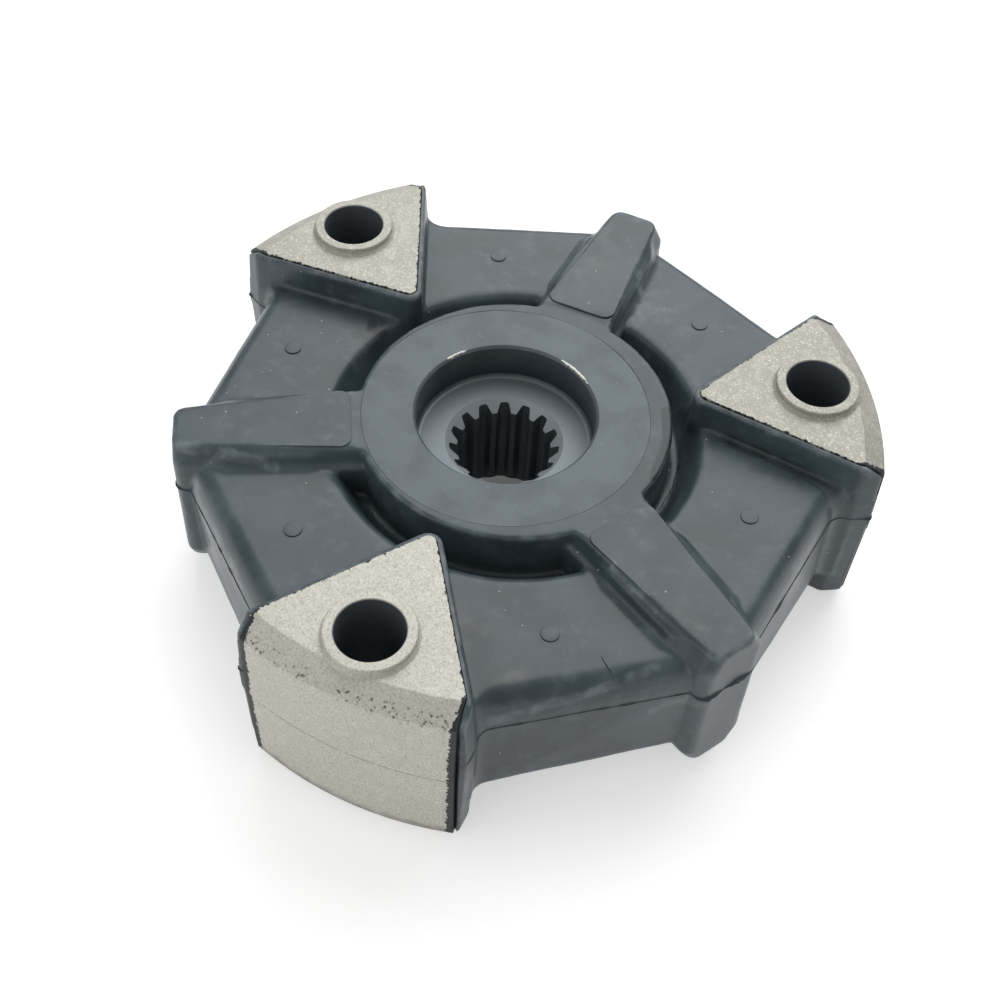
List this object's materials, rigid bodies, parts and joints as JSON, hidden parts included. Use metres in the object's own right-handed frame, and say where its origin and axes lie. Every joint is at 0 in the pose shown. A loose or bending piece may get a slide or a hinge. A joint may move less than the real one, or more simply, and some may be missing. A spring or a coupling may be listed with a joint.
{
  "type": "flexible pump coupling",
  "caption": "Flexible pump coupling: splined steel hub moulded in a rubber element, with cast aluminium wedge inserts bolted through from face to face.",
  "frame": {"origin": "on the axis of the bolt circle, at mid-height between the two mounting planes", "axes": "+Z along the shaft, out of the counterbored face of the hub; insert_1 lies towards -Y"},
  "size_m": [0.1652, 0.1634, 0.051],
  "materials": {
    "hub_steel": "turned and blackened, satin",
    "rubber": "moulded, satin, with pale scuffs",
    "cast_aluminium": "cast and blasted, matt grain"
  },
  "bodies": {
    "root": {"hub": "hub_steel", "rubber_element": "rubber", "insert_1": "cast_aluminium", "insert_2": "cast_aluminium", "insert_3": "cast_aluminium"}
  },
  "joints": []
}
